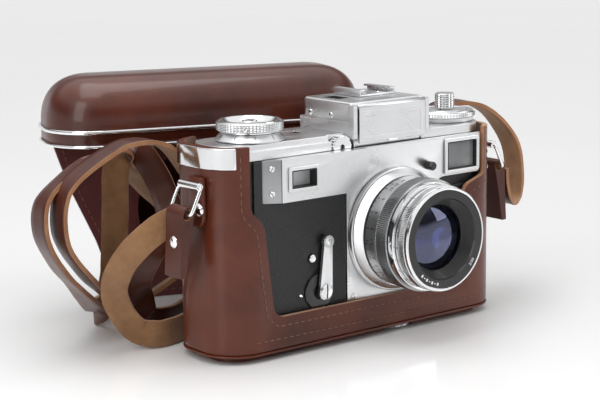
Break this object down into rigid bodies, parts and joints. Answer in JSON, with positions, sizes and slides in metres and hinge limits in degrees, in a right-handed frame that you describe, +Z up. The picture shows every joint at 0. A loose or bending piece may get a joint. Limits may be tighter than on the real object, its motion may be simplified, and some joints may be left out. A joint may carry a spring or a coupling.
{
  "type": "rangefinder camera",
  "caption": "Chromed 35 mm rangefinder camera in a brown leather half case, with its flap meter, winding knob, neck strap and the case's loose lid.",
  "frame": {"origin": "on the rest plane under the case's sole, in the film plane, 6.3 mm to the left of the lens axis as seen from the front", "axes": "+X from the winding knob to the rewind knob, +Y from the lens to the camera's back, +Z up"},
  "size_m": [0.2365, 0.1772, 0.1073],
  "materials": {
    "chrome_satin": "satin chrome plate",
    "chrome_polished": "polished chrome",
    "cast_grey": "cast, grey",
    "black_paint": "black enamel",
    "pebbled_leather": "black pebbled leatherette",
    "case_leather": "polished reddish brown leather",
    "strap_leather": "brown leather, suede on the inside",
    "clear_glass": "clear",
    "film_plastic": "matte",
    "spool_plastic": "black",
    "selenium": "dark brown cell"
  },
  "bodies": {
    "camera": {"body_casting": "cast_grey", "back_cover": "cast_grey", "pressure_plate": "black_paint", "film_gate": "black_paint", "shutter_crate": "black_paint", "shutter_curtain": "black_paint", "rangefinder_prism": "clear_glass", "film_cassette": "film_plastic", "front_plate": "chrome_satin", "rangefinder_arm": "chrome_satin", "arm_end_cap": "cast_grey", "rangefinder_window_frame": "chrome_satin", "rangefinder_glass": "clear_glass", "viewfinder_window_frame": "chrome_satin", "viewfinder_glass": "clear_glass", "leatherette_left": "pebbled_leather", "leatherette_right": "pebbled_leather", "top_cover": "chrome_satin", "meter_housing": "chrome_satin", "meter_door_pin": "chrome_polished", "selenium_cell": "selenium", "meter_window": "clear_glass", "accessory_shoe": "chrome_satin", "lens_flange": "chrome_satin", "depth_ring": "chrome_satin", "timer_plate": "black_paint", "half_case": "case_leather", "case_sole": "case_leather", "corner_band": "chrome_polished", "case_lug_left": "case_leather", "case_lug_right": "case_leather", "strap_end_left": "strap_leather", "strap_end_right": "strap_leather", "neck_strap": "strap_leather"},
    "winding": {"winding_knob": "chrome_satin", "speed_dial": "chrome_satin", "take_up_spool": "spool_plastic"},
    "release": {"shutter_button": "chrome_polished"},
    "rewind": {"rewind_knob": "chrome_satin"},
    "exposure_scale": {"exposure_dial": "chrome_satin"},
    "meter_flap": {"meter_door": "chrome_satin"},
    "lens_head": {"lens_barrel": "chrome_polished", "front_bezel": "black_paint", "front_element": "clear_glass", "rear_element": "clear_glass", "iris_diaphragm": "black_paint"},
    "focusing_ring": {"focus_ring": "chrome_satin"},
    "aperture_control": {"aperture_ring": "chrome_satin"},
    "finger_wheel": {"focus_wheel": "chrome_satin"},
    "infinity_catch": {"infinity_lock": "chrome_polished"},
    "timer": {"timer_lever": "chrome_satin", "timer_screw": "chrome_polished"},
    "timer_release": {"timer_button": "chrome_polished"},
    "case_fastener": {"case_screw": "chrome_satin"},
    "ring_left": {"strap_ring_left": "chrome_polished"},
    "ring_right": {"strap_ring_right": "chrome_polished"},
    "case_lid": {"lid_shell": "case_leather", "lid_front": "case_leather", "lid_trim": "chrome_polished"}
  },
  "joints": [
    {"name": "film_wind", "type": "hinge", "parent": "camera", "child": "winding", "pos_m": [-0.0561, -0.0081, 0.084], "axis": [0, 0, 1], "continuous": true},
    {"name": "shutter_press", "type": "slide", "parent": "camera", "child": "release", "axis": [0, 0, -1], "range_m": [0, 0.0013], "stiffness_N_per_m": 400, "springref_m": -0.001},
    {"name": "film_rewind", "type": "hinge", "parent": "camera", "child": "rewind", "pos_m": [0.051, -0.0075, 0.09], "axis": [0, 0, 1], "continuous": true},
    {"name": "exposure_set", "type": "hinge", "parent": "camera", "child": "exposure_scale", "pos_m": [0.051, -0.0075, 0.087], "axis": [0, 0, 1], "continuous": true},
    {"name": "meter_flap_open", "type": "hinge", "parent": "camera", "child": "meter_flap", "pos_m": [0.004, -0.0248, 0.0966], "axis": [-1, 0, 0], "range_deg": [0, 100]},
    {"name": "focus_turn", "type": "hinge", "parent": "camera", "child": "focusing_ring", "pos_m": [0.0063, -0.037, 0.0441], "axis": [0, 1, 0], "range_deg": [0, 262]},
    {"name": "lens_travel", "type": "slide", "parent": "camera", "child": "lens_head", "axis": [0, -1, 0], "range_m": [0, 0.003]},
    {"name": "aperture_turn", "type": "hinge", "parent": "lens_head", "child": "aperture_control", "pos_m": [0.0063, -0.052, 0.0441], "axis": [0, 1, 0], "range_deg": [0, 100]},
    {"name": "focus_wheel_turn", "type": "hinge", "parent": "camera", "child": "finger_wheel", "pos_m": [-0.0207, -0.0217, 0.081], "axis": [0, 1, 0], "range_deg": [-1320, 0]},
    {"name": "infinity_press", "type": "slide", "parent": "camera", "child": "infinity_catch", "axis": [0, 1, 0], "range_m": [0, 0.0003], "stiffness_N_per_m": 400, "springref_m": -0.0005},
    {"name": "timer_wind", "type": "hinge", "parent": "camera", "child": "timer", "pos_m": [-0.0334, -0.027, 0.0237], "axis": [0, -1, 0], "range_deg": [0, 90]},
    {"name": "timer_press", "type": "slide", "parent": "camera", "child": "timer_release", "axis": [0, 1, 0], "range_m": [0, 0.0006], "stiffness_N_per_m": 300, "springref_m": -0.0005},
    {"name": "case_screw_turn", "type": "hinge", "parent": "camera", "child": "case_fastener", "pos_m": [0.01, -0.0153, 0.001], "axis": [0, 0, 1], "continuous": true},
    {"name": "ring_left_swing", "type": "hinge", "parent": "camera", "child": "ring_left", "pos_m": [-0.0883, -0.012, 0.072], "axis": [0, 1, 0], "range_deg": [-3, 3]},
    {"name": "ring_right_swing", "type": "hinge", "parent": "camera", "child": "ring_right", "pos_m": [0.0708, -0.012, 0.072], "axis": [0, 1, 0], "range_deg": [-3, 3]},
    {"name": "lid_lift", "type": "slide", "parent": "camera", "child": "case_lid", "axis": [0, 0, 1], "range_m": [0, 0.06]}
  ],
  "couplings": [
    {"joint": "lens_travel", "follows": "focus_turn", "m_per_rad": 0.00065605},
    {"joint": "focus_wheel_turn", "follows": "focus_turn", "ratio": -5}
  ]
}
